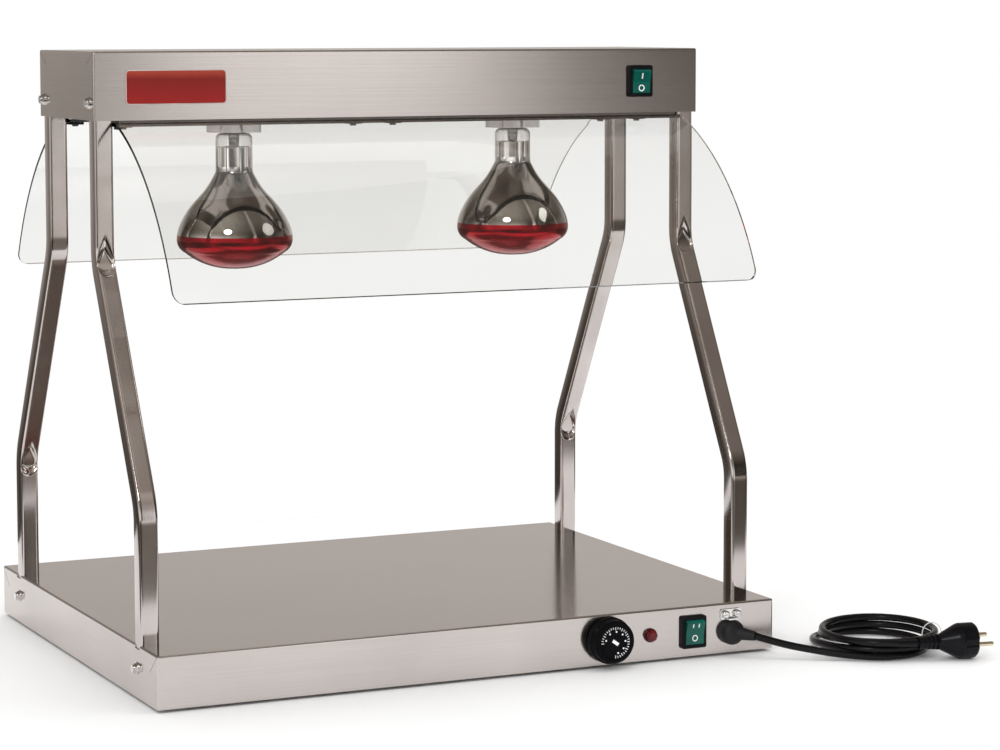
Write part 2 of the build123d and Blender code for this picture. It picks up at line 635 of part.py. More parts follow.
def guard_rail():
    """Packing strip between the hood's front edge and the glass."""
    y0 = HOOD_FRONT + 1.0
    return box((-324, y0, GUARD_TOP), (324, y0 + 22, HOOD_BOTTOM))


def guard_clips():
    clips = []
    y0 = HOOD_FRONT + 3.0
    top = GUARD_TOP - GUARD_THICKNESS
    for x in CLIP_X:
        clip = box((x - 8, y0, top - 3), (x + 8, y0 + 18, top))
        clips.append(fillet(clip.edges().filter_by(Axis.Z), 4))
    return group(*clips)


def guard_clip_screws():
    screws = []
    low = GUARD_TOP - GUARD_THICKNESS - 3
    for x in CLIP_X:
        y = HOOD_FRONT + 12
        screws.append(rod((x, y, low - 2), (x, y, low), 3.4))
    return group(*screws)


def mirror_rear(shape):
    return mirror(shape, about=Plane.XZ)


def hood_cable():
    """Lead that runs up inside the right rear leg to the lamp switch."""
    x, foot, top = LEG_X - 4.6, LEG_FOOT_Y, LEG_TOP_Y
    points = [(x, foot, 12), (x, foot, LEG_LOW_BEND), (x, top, LEG_HIGH_BEND), (x, top, 628)]
    path = FilletPolyline(*points, radius=LEG_BEND_RADIUS)
    return sweep(Plane(origin=path @ 0, z_dir=path % 0) * Circle(3.2), path=path)


def build_pieces():
    pieces = {
        # base
        "base_shell": base_shell(),
        "base_bottom_cover": base_bottom_cover(),
        "cover_screws": cover_screws(),
        "cover_standoffs": cover_standoffs(),
        "rubber_feet": rubber_feet(),
        "element_tray": element_tray(),
        "insulation_blanket": insulation_blanket(),
        "heating_element": heating_element(),
        "element_clamps": element_clamps(),
        # controls
        "thermostat_body": thermostat_body(),
        "thermostat_bulb": thermostat_bulb(),
        "thermostat_shaft": thermostat_shaft(),
        "thermostat_knob": thermostat_knob(),
        "pilot_lamp_body": pilot_lamp_body(),
        "pilot_lamp_lens": pilot_lamp_lens(),
        "base_switch_housing": switch_housing(BASE_SWITCH),
        "base_switch_rocker": switch_rocker(BASE_SWITCH),
        "hood_switch_housing": switch_housing(HOOD_SWITCH),
        "hood_switch_rocker": switch_rocker(HOOD_SWITCH),
        "switch_terminals": switch_terminals(),
        # supply
        "cord_gland": cord_gland(),
        "gland_nut": gland_nut(),
        "cord_clamp": cord_clamp(),
        "cord_clamp_screws": cord_clamp_screws(),
        "terminal_block": terminal_block(),
        "power_cord": power_cord(),
        "cord_coil": cord_coil(),
        "plug_body": plug_body(),
        "plug_pins": plug_pins(),
        "hood_cable": hood_cable(),
        # hood
        "hood_shell": hood_shell(),
        "hood_bottom_plate": hood_bottom_plate(),
        "badge_plate": badge(),
        "lampholder_shells": lampholder_shells(),
    }
    for sx, across in ((-1, "left"), (1, "right")):
        for sy, along in ((-1, "front"), (1, "rear")):
            pieces[f"leg_{along}_{across}"] = leg(sx, sy)
    pieces.update(leg_hardware())
    for sx, side in ((-1, "left"), (1, "right")):
        pieces.update(lamp(sx))
        pieces[f"lamp_bracket_{side}"] = lamp_bracket(sx)
        pieces[f"lampholder_{side}"] = lampholder(sx)
    screws = guard_clip_screws()
    pieces["glass_clip_screws"] = group(screws, mirror_rear(screws))
    front = {"glass_guard": front_glass_guard(), "glass_rail": guard_rail(), "glass_clips": guard_clips()}
    for name, shape in front.items():
        pieces[f"front_{name}"] = shape
        pieces[f"rear_{name}"] = mirror_rear(shape)
    return pieces


os.makedirs("parts", exist_ok=True)
for piece_name, piece in build_pieces().items():
    save(piece_name, piece)
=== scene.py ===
"""Looks of the heat lamp warmer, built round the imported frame. Metres, +X right, +Y back, +Z up."""

import json
import math

import bpy
from mathutils import Matrix, Vector


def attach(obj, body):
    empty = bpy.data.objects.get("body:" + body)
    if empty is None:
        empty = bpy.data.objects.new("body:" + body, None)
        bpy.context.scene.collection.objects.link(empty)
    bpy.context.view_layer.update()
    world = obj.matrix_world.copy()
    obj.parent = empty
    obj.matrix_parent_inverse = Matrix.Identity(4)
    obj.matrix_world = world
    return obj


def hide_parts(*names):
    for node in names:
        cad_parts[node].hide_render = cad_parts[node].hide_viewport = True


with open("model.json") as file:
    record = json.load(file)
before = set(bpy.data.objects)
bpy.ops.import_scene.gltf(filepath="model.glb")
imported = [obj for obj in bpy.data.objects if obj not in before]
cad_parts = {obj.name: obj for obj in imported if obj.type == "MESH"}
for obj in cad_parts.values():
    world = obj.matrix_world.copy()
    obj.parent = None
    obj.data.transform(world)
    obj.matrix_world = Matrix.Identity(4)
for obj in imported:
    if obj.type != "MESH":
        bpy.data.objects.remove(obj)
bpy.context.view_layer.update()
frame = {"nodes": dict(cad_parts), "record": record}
NODES = frame["nodes"]
BODY = "warmer"

# ---------------------------------------------------------------- sizes, in millimetres
MM = 0.001

# Legs: tube section, centre line, and the dents pressed into the inner sides of the bends
TUBE_HALF, TUBE_CORNER = 10.0, 2.5
LEG_X, LEG_FOOT_Y, LEG_TOP_Y = 338.8, 211.0, 80.0
LEG_LOW_BEND, LEG_HIGH_BEND = 194.0, 434.0
LEG_FOOT_Z, LEG_TOP_Z, BEND_RADIUS = 5.0, 634.0, 60.0
DENT_DEPTH, DENT_LOW, DENT_HIGH = 3.6, -23.0, 27.0   # its ends are distances from the bend's middle
DENT_LIP, DENT_POINT = 7.0, 24.0      # how much shorter it is at its sides than in the middle
LIP_SLOPE, POINT_SLOPE = 9.0, 15.0    # lengths over which it gets to its depth
# Rings of points along a leg: close together within reach of a bend and far apart elsewhere
BEND_REACH, FINE_STEP, COARSE_STEP = 36.0, 1.5, 15.0
FACE_BAND = 1.6                       # points this near to a face of the tube go in with its dent

# Controls: middle of the knob's face and pivots of the rockers
KNOB_FACE = Vector((148.5, -294.0, 30.0))
BASE_SWITCH, HOOD_SWITCH = Vector((251.0, -275.0, 29.5)), Vector((279.0, -95.0, 614.0))
ROCKER_TILT = math.radians(10)
ROCKER_FACE, ROCKER_HOLLOW, ROCKER_HALF = 5.86, 1.8, 14.0   # pivot to face, its hollow, half height
# Marks: the dial's, from the left over the top in degrees, then the pointer mark's slope
DIAL_RADIUS, DIAL_MARKS, DIAL_STEP = 16.7, 28, 10
DOT_RING, DOTS, DOT_START, DOT_STEP = 11.6, 7, 165, 40
POINTER_SLOPE = math.radians(-35)
PRINT = 0.12                          # thickness of a printed mark

# Nameplate, its pale rim and the hood's face behind it
BADGE_LEFT, BADGE_RIGHT, BADGE_LOW, BADGE_HIGH = -316.0, -208.0, 596.0, 630.0
BADGE_CORNER, HOOD_FACE = 3.2, 95.05
RIM_OUT, RIM_HALF, RIM_HEIGHT = 0.3, 0.4, 1.4

# Cord tie: its place beside the coil's middle, half width, half height and half thickness
TIE_PLACE, TIE_Z = (0.0655, 0.010, 0), 13.6
TIE_WIDE, TIE_HIGH, TIE_THICK = 10.5, 12.4, 0.6

# ---------------------------------------------------------------- sizes, in metres
# Bulb: height where the silvering ends and the neck's glass is clear, and where the neck starts
SILVER_TOP, NECK_BOTTOM = 0.5453, 0.5215

CORD_RADIUS, CORD_LENGTH = 0.004, 1.39
# The cord's loose stretch, then the coil: middle, direction of its first axis and its two radii
CORD_ROUTE = [
    (0.3150, -0.2985, 0.0230), (0.3380, -0.3145, 0.0156), (0.3640, -0.3310, 0.0104),
    (0.3905, -0.3495, 0.0062), (0.4170, -0.3670, 0.0042),
]
COIL_CENTRE, COIL_TURN = Vector((0.456, -0.309, 0)), math.radians(-26.3)
COIL_RADII = (0.062, 0.070)
COIL_START, COIL_TURNS, COIL_STEPS = math.radians(-98.6), 3.06, 14
# How far the turns are shifted to the right of the middle, in millimetres, by turn
COIL_SHIFT = [(0, 0), (0.3, -4), (0.7, -5), (1.0, 0), (1.5, 4), (2.0, 6), (2.5, 7), (2.9, 4), (3.1, 1)]
SHIFT_WAY = Vector((0.896, -0.443, 0))
COIL_WAVER, COIL_WAVES = 0.012, 2.3        # unevenness of the turns' size
COIL_LEAVES, COIL_OPENS = 2.8, 0.06        # turn from which the cord's end opens out, and by how much
COIL_LAYERS = [(0.55, 0.98), (1.6, 2.0)]   # turns in which the cord climbs onto the layer below it
TABLE_GAP, LAYER_RISE = 0.0003, 0.0079
PLUG_LEAD = (0.4495, -0.3839, 0.019)
PLUG_START = (0.464, -0.3865, 0.019)

FLOOR_X, FLOOR_Y, FLOOR_Z = (-0.75, 1.0), (-0.72, 0.75), -0.0005
CAMERA_PLACE, CAMERA_LENS, CAMERA_SHIFT = (-1.279, -3.057, 0.684), 108.1, -0.075
CAMERA_YAW, CAMERA_PITCH, CAMERA_ROLL = (math.radians(turn) for turn in (25.09, -5.37, -0.05))


# ---------------------------------------------------------------- node helpers
class Nodes:
    """A node tree, with short calls for the nodes used here."""

    def __init__(self, tree):
        self.tree = tree

    def put(self, socket, value):
        """Link a node's output to a socket, or give the socket a value."""
        if isinstance(value, bpy.types.NodeSocket):
            self.tree.links.new(value, socket)
        else:
            socket.default_value = value

    def node(self, kind, inputs=None, **settings):
        made = self.tree.nodes.new(kind)
        for name, value in settings.items():
            setattr(made, name, value)
        for name, value in (inputs or {}).items():
            self.put(made.inputs[name], value)
        return made

    def spread(self, value, low, high, start=0.0, end=1.0):
        """A value from start to end taken to low to high."""
        inputs = {"Value": value, "From Min": start, "From Max": end, "To Min": low, "To Max": high}
        return self.node("ShaderNodeMapRange", inputs).outputs[0]

    def ramp(self, value, *stops):
        made = self.node("ShaderNodeValToRGB", {"Fac": value})
        elements = made.color_ramp.elements
        while len(elements) < len(stops):
            elements.new(0.5)
        for element, (at, colour) in zip(elements, stops):
            element.position, element.color = at, (*colour, 1)
        return made.outputs["Color"]

    def blend(self, factor, a, b, mode="MIX"):
        made = self.node("ShaderNodeMix", data_type="RGBA", blend_type=mode)
        for index, value in ((0, factor), (6, a), (7, b)):
            self.put(made.inputs[index], value)
        return made.outputs[2]

    def math(self, operation, a, b=0.0):
        made = self.node("ShaderNodeMath", operation=operation)
        for index, value in ((0, a), (1, b)):
            self.put(made.inputs[index], value)
        return made.outputs[0]

    def vector_math(self, operation, a, b):
        return self.node("ShaderNodeVectorMath", {0: a, 1: b}, operation=operation).outputs[0]


class Shader(Nodes):
    """A material's node tree round its Principled shader."""

    def __init__(self, name, **principled):
        self.material = bpy.data.materials.new(name)
        self.material.use_nodes = True
        super().__init__(self.material.node_tree)
        self.bsdf = self.tree.nodes["Principled BSDF"]
        for socket, value in principled.items():
            self.bsdf.inputs[socket.replace("_", " ")].default_value = value

    def set(self, socket, source):
        self.tree.links.new(source, self.bsdf.inputs[socket])

    def place(self):
        return self.node("ShaderNodeTexCoord").outputs["Object"]

    def height(self):
        return self.node("ShaderNodeSeparateXYZ", {0: self.place()}).outputs[2]

    def stretched(self, scale):
        return self.node("ShaderNodeMapping", {"Vector": self.place(), "Scale": scale}).outputs[0]

    def noise(self, vector, scale, detail=2.0, rough=0.5):
        inputs = {"Vector": vector, "Scale": scale, "Detail": detail, "Roughness": rough}
        return self.node("ShaderNodeTexNoise", inputs).outputs["Fac"]

    def bump(self, height, strength, distance):
        inputs = {"Height": height, "Strength": strength, "Distance": distance}
        self.set("Normal", self.node("ShaderNodeBump", inputs).outputs[0])
        return self

    def clear_to_shadows(self):
        """Let light through to what lies behind glass, which a shadow ray can't refract through."""
        light = self.node("ShaderNodeLightPath").outputs["Is Shadow Ray"]
        mix = self.node("ShaderNodeMixShader", {0: light})
        clear = self.node("ShaderNodeBsdfTransparent", {"Color": (0.9, 0.9, 0.9, 1)})
        self.tree.links.new(self.bsdf.outputs[0], mix.inputs[1])
        self.tree.links.new(clear.outputs[0], mix.inputs[2])
        self.tree.links.new(mix.outputs[0], self.tree.nodes["Material Output"].inputs["Surface"])
        return self.material


def shades(colour, down, up):
    """A darker and a lighter tone of a colour."""
    return tuple(c * down for c in colour), tuple(min(1.0, c * up) for c in colour)


# ---------------------------------------------------------------- materials
def brushed_steel(name, colour, rough=(0.11, 0.19), smudge=0.05):
    """Satin stainless sheet with level brush lines, faint smudges and uneven gloss."""
    sh = Shader(name, Metallic=1.0, Anisotropic=0.85)
    along_x = sh.noise(sh.stretched((6, 900, 900)), 1.0, 4.0, 0.62)
    along_y = sh.noise(sh.stretched((900, 6, 900)), 1.0, 4.0, 0.62)
    normal = sh.node("ShaderNodeNewGeometry").outputs["True Normal"]
    facing_x = sh.math("ABSOLUTE", sh.node("ShaderNodeSeparateXYZ", {0: normal}).outputs[0])
    lines = sh.node("ShaderNodeMix", {0: sh.math("GREATER_THAN", facing_x, 0.7)})
    sh.put(lines.inputs[2], along_x)
    sh.put(lines.inputs[3], along_y)
    lines = lines.outputs[0]
    cloud = sh.noise(sh.place(), 7.0, 3.0, 0.55)
    dark, light = shades(colour, 1 - smudge, 1 + smudge)
    tone = sh.ramp(cloud, (0.3, dark), (0.7, light))
    streak = sh.ramp(lines, (0.3, (0.90, 0.90, 0.90)), (0.7, (1.0, 1.0, 1.0)))
    sh.set("Base Color", sh.blend(1.0, tone, streak, "MULTIPLY"))
    mixed = sh.math("ADD", sh.math("MULTIPLY", lines, 0.6), sh.math("MULTIPLY", cloud, 0.4))
    sh.set("Roughness", sh.spread(mixed, *rough))
    # gloss is drawn out across the brush lines
    sh.set("Tangent", sh.node("ShaderNodeCombineXYZ", {1: 0.02, 2: 1.0}).outputs[0])
    return sh.bump(lines, 0.08, 0.0002).material


def polished_tube():
    """Bright drawn tube, with fine lines along its length."""
    sh = Shader("polished_tube", Metallic=1.0)
    lines = sh.noise(sh.stretched((700, 700, 5)), 1.0, 3.0, 0.6)
    cloud = sh.noise(sh.place(), 16.0, 3.0, 0.5)
    sh.set("Base Color", sh.ramp(cloud, (0.3, (0.55, 0.50, 0.48)), (0.7, (0.66, 0.61, 0.59))))
    mixed = sh.math("ADD", sh.math("MULTIPLY", lines, 0.5), sh.math("MULTIPLY", cloud, 0.5))
    sh.set("Roughness", sh.spread(mixed, 0.06, 0.15))
    return sh.bump(lines, 0.05, 0.0002).material


def moulded(name, colour, rough=(0.25, 0.4), scale=900.0, bump=0.06, coat=0.0, glow=0.0,
            shine=0.3):
    """Moulded plastic or rubber with a fine texture and slightly uneven gloss."""
    sh = Shader(name, Coat_Weight=coat, Coat_Roughness=0.08, Transmission_Weight=glow,
                Specular_IOR_Level=shine)
    fine = sh.noise(sh.place(), scale, 2.0, 0.5)
    cloud = sh.noise(sh.place(), 35.0, 2.0, 0.5)
    dark, light = shades(colour, 0.78, 1.25)
    sh.set("Base Color", sh.ramp(cloud, (0.3, dark), (0.7, light)))
    sh.set("Roughness", sh.spread(cloud, *rough))
    return sh.bump(fine, bump, 0.0001).material


def metal(name, colour, rough=(0.15, 0.3), scale=60.0):
    """Small plated or bare metal parts with handling marks."""
    sh = Shader(name, Metallic=1.0)
    cloud = sh.noise(sh.place(), scale, 4.0, 0.6)
    dark, _ = shades(colour, 0.8, 1.0)
    sh.set("Base Color", sh.ramp(cloud, (0.3, dark), (0.65, colour)))
    sh.set("Roughness", sh.spread(cloud, *rough))
    return sh.bump(cloud, 0.04, 0.0002).material


def screw_thread(name, colour):
    """Rolled thread of a lamp cap or its socket."""
    sh = Shader(name, Metallic=1.0)
    wave = sh.node("ShaderNodeTexWave", {"Vector": sh.place(), "Scale": 88.0, "Distortion": 0.4},
                   bands_direction="Z").outputs["Fac"]
    # painted shade darkens the thread's grooves and a painted highlight lightens its crests
    dark, light = shades(colour, 0.6, 1.1)
    sh.set("Base Color", sh.ramp(wave, (0.1, dark), (0.6, light)))
    sh.set("Roughness", sh.spread(wave, 0.35, 0.2))
    return sh.bump(wave, 0.6, 0.001).material


def mineral_wool():
    """Yellowish matted fibres."""
    sh = Shader("mineral_wool", Roughness=0.95, Sheen_Weight=0.4)
    fibres = sh.noise(sh.stretched((60, 160, 220)), 3.0, 6.0, 0.7)
    sh.set("Base Color", sh.ramp(fibres, (0.3, (0.42, 0.36, 0.22)), (0.7, (0.80, 0.74, 0.55))))
    return sh.bump(fibres, 0.7, 0.002).material


def clear_glass():
    """Guard glass: faintly grey, with a slightly uneven gloss."""
    sh = Shader("guard_glass", Transmission_Weight=1.0, IOR=1.45)
    dust = sh.noise(sh.place(), 9.0, 5.0, 0.6)
    sh.set("Base Color", sh.ramp(dust, (0.3, (0.925, 0.925, 0.91)), (0.7, (0.94, 0.94, 0.925))))
    sh.set("Roughness", sh.spread(dust, 0.0, 0.03))
    return sh.clear_to_shadows()


def silvered_bulb():
    """Silvered inside of the bulb seen through its glass; the neck's end is clear glass."""
    sh = Shader("silvered_bulb", IOR=1.45, Coat_Weight=1.0, Coat_Roughness=0.02)
    cloud = sh.noise(sh.place(), 22.0, 3.0, 0.5)
    edge = sh.math("ADD", sh.height(), sh.math("MULTIPLY", sh.noise(sh.place(), 130.0), 0.004))
    silver = sh.spread(edge, 1.0, 0.0, SILVER_TOP + 0.0015, SILVER_TOP + 0.0025)
    tone = sh.ramp(cloud, (0.3, (0.33, 0.315, 0.285)), (0.7, (0.56, 0.54, 0.50)))
    # the neck's silvered colour is painted in dark and bright streaks, as a painted reflection
    reflection_streaks = sh.noise(sh.stretched((150, 150, 5)), 1.0, 1.0)
    neck = sh.spread(sh.height(), 0.0, 1.0, NECK_BOTTOM, NECK_BOTTOM + 0.002)
    run = sh.ramp(reflection_streaks, (0.40, (0.16, 0.155, 0.15)), (0.47, (0.80, 0.77, 0.75)),
                  (0.6, (1.0, 0.97, 0.94)))
    tone = sh.blend(neck, tone, run)
    sh.set("Base Color", sh.blend(silver, (0.97, 0.96, 0.95, 1), tone))
    sh.set("Metallic", silver)
    sh.set("Transmission Weight", sh.math("SUBTRACT", 1.0, silver))
    sh.set("Roughness", sh.spread(cloud, 0.02, 0.07))
    return sh.bump(cloud, 0.10, 0.003).clear_to_shadows()


def red_bulb():
    """Red front of the bulb; it shines like metal, as the silvering lies behind it."""
    sh = Shader("red_bulb", Metallic=0.95, IOR=1.5, Coat_Weight=0.12, Coat_Roughness=0.03)
    cloud = sh.noise(sh.place(), 30.0, 3.0, 0.5)
    sh.set("Base Color", sh.ramp(cloud, (0.3, (0.24, 0.001, 0.006)), (0.7, (0.46, 0.003, 0.012))))
    sh.set("Roughness", sh.spread(cloud, 0.14, 0.26))
    return sh.bump(cloud, 0.12, 0.003).material


def badge_enamel():
    """Glossy enamel with painted light by height: darker up to three quarters of its height, then a
    painted highlight in a lighter band at its upper edge.
    """
    sh = Shader("badge_enamel", Specular_IOR_Level=0.3)
    cloud = sh.noise(sh.place(), 90.0, 3.0, 0.5)
    height = sh.math("ADD", sh.height(), sh.math("MULTIPLY", cloud, 0.004))
    shade = sh.spread(height, 0.0, 1.0, (BADGE_LOW + 1) * MM, (BADGE_HIGH + 2) * MM)
    # painted shade darkens the middle, and a painted highlight lightens the upper edge
    sh.set("Base Color", sh.ramp(shade, (0.0, (0.30, 0.008, 0.006)), (0.75, (0.20, 0.007, 0.005)),
                                 (0.95, (0.34, 0.04, 0.02))))
    sh.set("Roughness", sh.spread(cloud, 0.18, 0.3))
    return sh.material


MATERIALS = {
    "brushed_stainless": brushed_steel("satin_sheet", (0.64, 0.59, 0.565)),
    "cover_steel": brushed_steel("cover_sheet", (0.48, 0.47, 0.46), (0.36, 0.5), 0.1),
    "tube_stainless": polished_tube(),
    "bright_fasteners": metal("bright_plating", (0.82, 0.81, 0.80), (0.06, 0.18), 120.0),
    "black_rubber": moulded("black_rubber", (0.010, 0.010, 0.011), (0.42, 0.58), 1200.0, 0.12),
    "cord_black": moulded("cord_sheath", (0.004, 0.004, 0.005), (0.20, 0.34), 700.0, 0.05,
                           shine=0.2),
    "plug_black": moulded("plug_rubber", (0.004, 0.004, 0.006), (0.20, 0.32), 900.0, 0.07,
                           shine=0.15),
    "plated_contacts": metal("plated_contacts", (0.80, 0.70, 0.50), (0.12, 0.25)),
    "element_sheath": metal("element_sheath", (0.30, 0.26, 0.23), (0.4, 0.6)),
    "mineral_wool": mineral_wool(),
    "thermostat_plastic": moulded("pale_bakelite", (0.66, 0.63, 0.55), (0.45, 0.6), 500.0, 0.1),
    "copper_bulb": metal("copper_bulb", (0.72, 0.40, 0.24), (0.2, 0.35)),
    "knob_black": moulded("knob_bakelite", (0.004, 0.004, 0.005), (0.20, 0.30), 300.0, 0.03,
                           shine=0.03),
    "pilot_bezel": moulded("pilot_bezel", (0.05, 0.008, 0.008), (0.15, 0.25), 400.0, 0.03),
    "pilot_red": moulded("pilot_lens", (0.22, 0.001, 0.004), (0.05, 0.12), 300.0, 0.03, 0.0, 0.55),
    "switch_black": moulded("switch_plastic", (0.007, 0.007, 0.008), (0.18, 0.3), 600.0, 0.05,
                             shine=0.06),
    "rocker_green": moulded("green_lens", (0.001, 0.105, 0.080), (0.10, 0.18), 300.0, 0.03, 0.0, 0.2),
    "badge_red": badge_enamel(),
    "lamp_red_glass": red_bulb(),
    "lamp_silvered": silvered_bulb(),
    "lamp_cap_metal": screw_thread("lamp_cap", (0.75, 0.74, 0.72)),
    "filament_wire": metal("lamp_wires", (0.70, 0.70, 0.74), (0.1, 0.25)),
    "porcelain": moulded("glazed_porcelain", (0.80, 0.78, 0.73), (0.12, 0.2), 60.0, 0.04, coat=0.8),
    "socket_brass": screw_thread("socket_brass", (0.75, 0.58, 0.28)),
    "bracket_zinc": moulded("pale_zinc", (0.93, 0.85, 0.86), (0.30, 0.42), 200.0, 0.03, shine=0.6),
    "clear_glass": clear_glass(),
    "rail_grey": metal("rail_metal", (0.30, 0.27, 0.25), (0.35, 0.5)),
    "white_print": moulded("white_print", (0.86, 0.86, 0.84), (0.4, 0.5), 600.0, 0.04),
    "pale_border": moulded("pale_border", (0.50, 0.40, 0.37), (0.3, 0.4), 500.0, 0.04),
}
SLOT = {part["node"]: part["material_slot"] for part in frame["record"]["subparts"]}


# ---------------------------------------------------------------- mesh helpers
def link(name, data):
    obj = bpy.data.objects.new(name, data)
    bpy.context.scene.collection.objects.link(obj)
    return obj


def paint(obj, material):
    obj.data.materials.clear()
    obj.data.materials.append(MATERIALS[material])
    return obj


def piece(name, verts, faces, material, body, slot, smooth=False):
    """A mesh piece that rides on a body; its points are in millimetres."""
    mesh = bpy.data.meshes.new(name)
    mesh.from_pydata([tuple(c * MM for c in v) for v in verts], [], faces)
    mesh.validate()
    mesh.shade_flat()
    if smooth:
        mesh.shade_smooth()
    obj = link(name, mesh)
    paint(obj, material)
    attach(obj, body)
    return obj


def solid_strip(path, half_width, thickness, place, closed=False):
    """Points and faces of a thin raised band along a path of (u, v); place(u, v, lift) puts it."""
    verts, faces = [], []
    count = len(path)
    for i, (u, v) in enumerate(path):
        before = path[(i - 1) % count] if closed or i else path[i]
        after = path[(i + 1) % count] if closed or i < count - 1 else path[i]
        along = Vector((after[0] - before[0], after[1] - before[1])).normalized()
        side = Vector((-along.y, along.x)) * half_width
        for sign, lift in ((-1, 0.0), (-1, thickness), (1, thickness), (1, 0.0)):
            verts.append(place(u + sign * side.x, v + sign * side.y, lift))
    for i in range(count if closed else count - 1):
        a, b = 4 * i, 4 * ((i + 1) % count)
        for k in range(4):
            faces.append((a + k, a + (k + 1) % 4, b + (k + 1) % 4, b + k))
    if not closed:
        last = 4 * (count - 1)
        faces += [(3, 2, 1, 0), (last, last + 1, last + 2, last + 3)]
    return verts, faces


def joined(parts):
    """Several lots of points and faces as one."""
    verts, faces = [], []
    for v, f in parts:
        start = len(verts)
        verts += v
        faces += [tuple(i + start for i in face) for face in f]
    return verts, faces


def circle(radius, count, centre=(0, 0)):
    """Points round a circle."""
    return [(centre[0] + radius * math.cos(math.tau * i / count),
             centre[1] + radius * math.sin(math.tau * i / count)) for i in range(count)]


# ---------------------------------------------------------------- legs
def leg_centre(along, lean):
    """Place (y, z) and tilt of the leg's centre line at a distance from its foot, in millimetres."""
    run_y, run_z = LEG_FOOT_Y - LEG_TOP_Y, LEG_HIGH_BEND - LEG_LOW_BEND
    tilt = math.atan2(run_y, run_z)
    trim, arc = BEND_RADIUS * math.tan(tilt / 2), BEND_RADIUS * tilt
    spans = [LEG_LOW_BEND - trim - LEG_FOOT_Z, arc, math.hypot(run_y, run_z) - 2 * trim, arc]
    y, z, angle = 0.0, LEG_FOOT_Z, 0.0
    for i, span in enumerate(spans):
        step = min(along, span)
        turn = {1: 1, 3: -1}.get(i)
        if turn is None:
            y, z = y + step * math.sin(angle), z + step * math.cos(angle)
        else:
            end = angle + turn * step / BEND_RADIUS
            y += turn * BEND_RADIUS * (math.cos(angle) - math.cos(end))
            z += turn * BEND_RADIUS * (math.sin(end) - math.sin(angle))
            angle = end
        along -= step
    y, z = y + along * math.sin(angle), z + along * math.cos(angle)
    return -lean * LEG_FOOT_Y + lean * y, z, lean * angle


def bend_places():
    """Distances from the foot to the middle of the lower and the upper bend, and the whole length."""
    run = math.hypot(LEG_FOOT_Y - LEG_TOP_Y, LEG_HIGH_BEND - LEG_LOW_BEND)
    tilt = math.atan2(LEG_FOOT_Y - LEG_TOP_Y, LEG_HIGH_BEND - LEG_LOW_BEND)
    saved = 2 * BEND_RADIUS * math.tan(tilt / 2) - BEND_RADIUS * tilt
    low = LEG_LOW_BEND - LEG_FOOT_Z - saved / 2
    high = low + run - saved
    return low, high, high + LEG_TOP_Z - LEG_HIGH_BEND - saved / 2


def smooth_step(value):
    """A value from 0 to 1 with soft ends; past them it stays."""
    value = max(0.0, min(1.0, value))
    return value * value * (3 - 2 * value)


def dent(across, along):
    """Depth of the dent: a point at its upper end and a rounded lip at its lower end."""
    lip = smooth_step((along - DENT_LOW - DENT_LIP * across * across) / LIP_SLOPE)
    point = smooth_step((DENT_HIGH - DENT_POINT * abs(across) - along) / POINT_SLOPE)
    sides = smooth_step((0.97 - abs(across)) / 0.20)
    return DENT_DEPTH * lip * point * sides


def tube_section():
    """Points round the tube's rounded square, with many across its front and back faces."""
    flat = TUBE_HALF - TUBE_CORNER
    points = []
    for quarter, (cx, cy) in enumerate(((1, 1), (-1, 1), (-1, -1), (1, -1))):
        for i in range(5):
            a = math.radians(90 * quarter + 22.5 * i)
            points.append((cx * flat + TUBE_CORNER * math.cos(a),
                           cy * flat + TUBE_CORNER * math.sin(a)))
        if quarter in (0, 2):
            sign = 1 if quarter == 0 else -1
            points += [(sign * flat * (1 - i / 6), sign * TUBE_HALF) for i in range(1, 12)]
    return points


def leg_stations(low, high, length):
    """Distances from the foot at which a leg has a ring of points."""
    reach = round(BEND_REACH / FINE_STEP)
    stations = {0.0, length}
    for middle in (low, high):
        stations.update(middle + FINE_STEP * i for i in range(-reach, reach + 1))
    between_bends = (COARSE_STEP * i for i in range(1, int(length / COARSE_STEP) + 1))
    stations.update(at for at in between_bends if min(abs(at - low), abs(at - high)) > BEND_REACH + 1)
    return sorted(stations)


def tube_faces(rings, count):
    """Faces of a tube of rings with so many points each, and last its two ends."""
    faces = []
    for ring in range(rings - 1):
        here, after = ring * count, (ring + 1) * count
        for i in range(count):
            j = (i + 1) % count
            faces.append((here + i, here + j, after + j, after + i))
    last = (rings - 1) * count
    return faces + [tuple(reversed(range(count))), tuple(last + i for i in range(count))]


def bent_leg(name, sx, sy):
    """Square tube with two bends, each with the dent that the bending tool left on its inner side."""
    lean = 1 if sy < 0 else -1
    low, high, length = bend_places()
    back_dent, front_dent = (low, high) if lean > 0 else (high, low)
    section, rings, verts = tube_section(), leg_stations(low, high, length), []
    for along in rings:
        y, z, tilt = leg_centre(along, lean)
        for a, b in section:
            if b > TUBE_HALF - FACE_BAND:
                b -= dent(a / TUBE_HALF, along - back_dent)
            elif b < FACE_BAND - TUBE_HALF:
                b += dent(a / TUBE_HALF, along - front_dent)
            verts.append((sx * LEG_X + a, y + b * math.cos(tilt), z - b * math.sin(tilt)))
    faces = tube_faces(len(rings), len(section))
    leg = piece(f"{name}_dented", verts, faces, "tube_stainless", BODY, "tube_stainless", smooth=True)
    for end in (-2, -1):
        leg.data.polygons[end].use_smooth = False
    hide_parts(name)


def make_legs():
    for sx, across in ((-1, "left"), (1, "right")):
        for sy, along in ((-1, "front"), (1, "rear")):
            bent_leg(f"leg_{along}_{across}", sx, sy)


# ---------------------------------------------------------------- printed marks
def on_knob(u, v, lift):
    """A place on the knob's face: u to the right, v up."""
    return KNOB_FACE + Vector((u, -0.05 - lift, v))


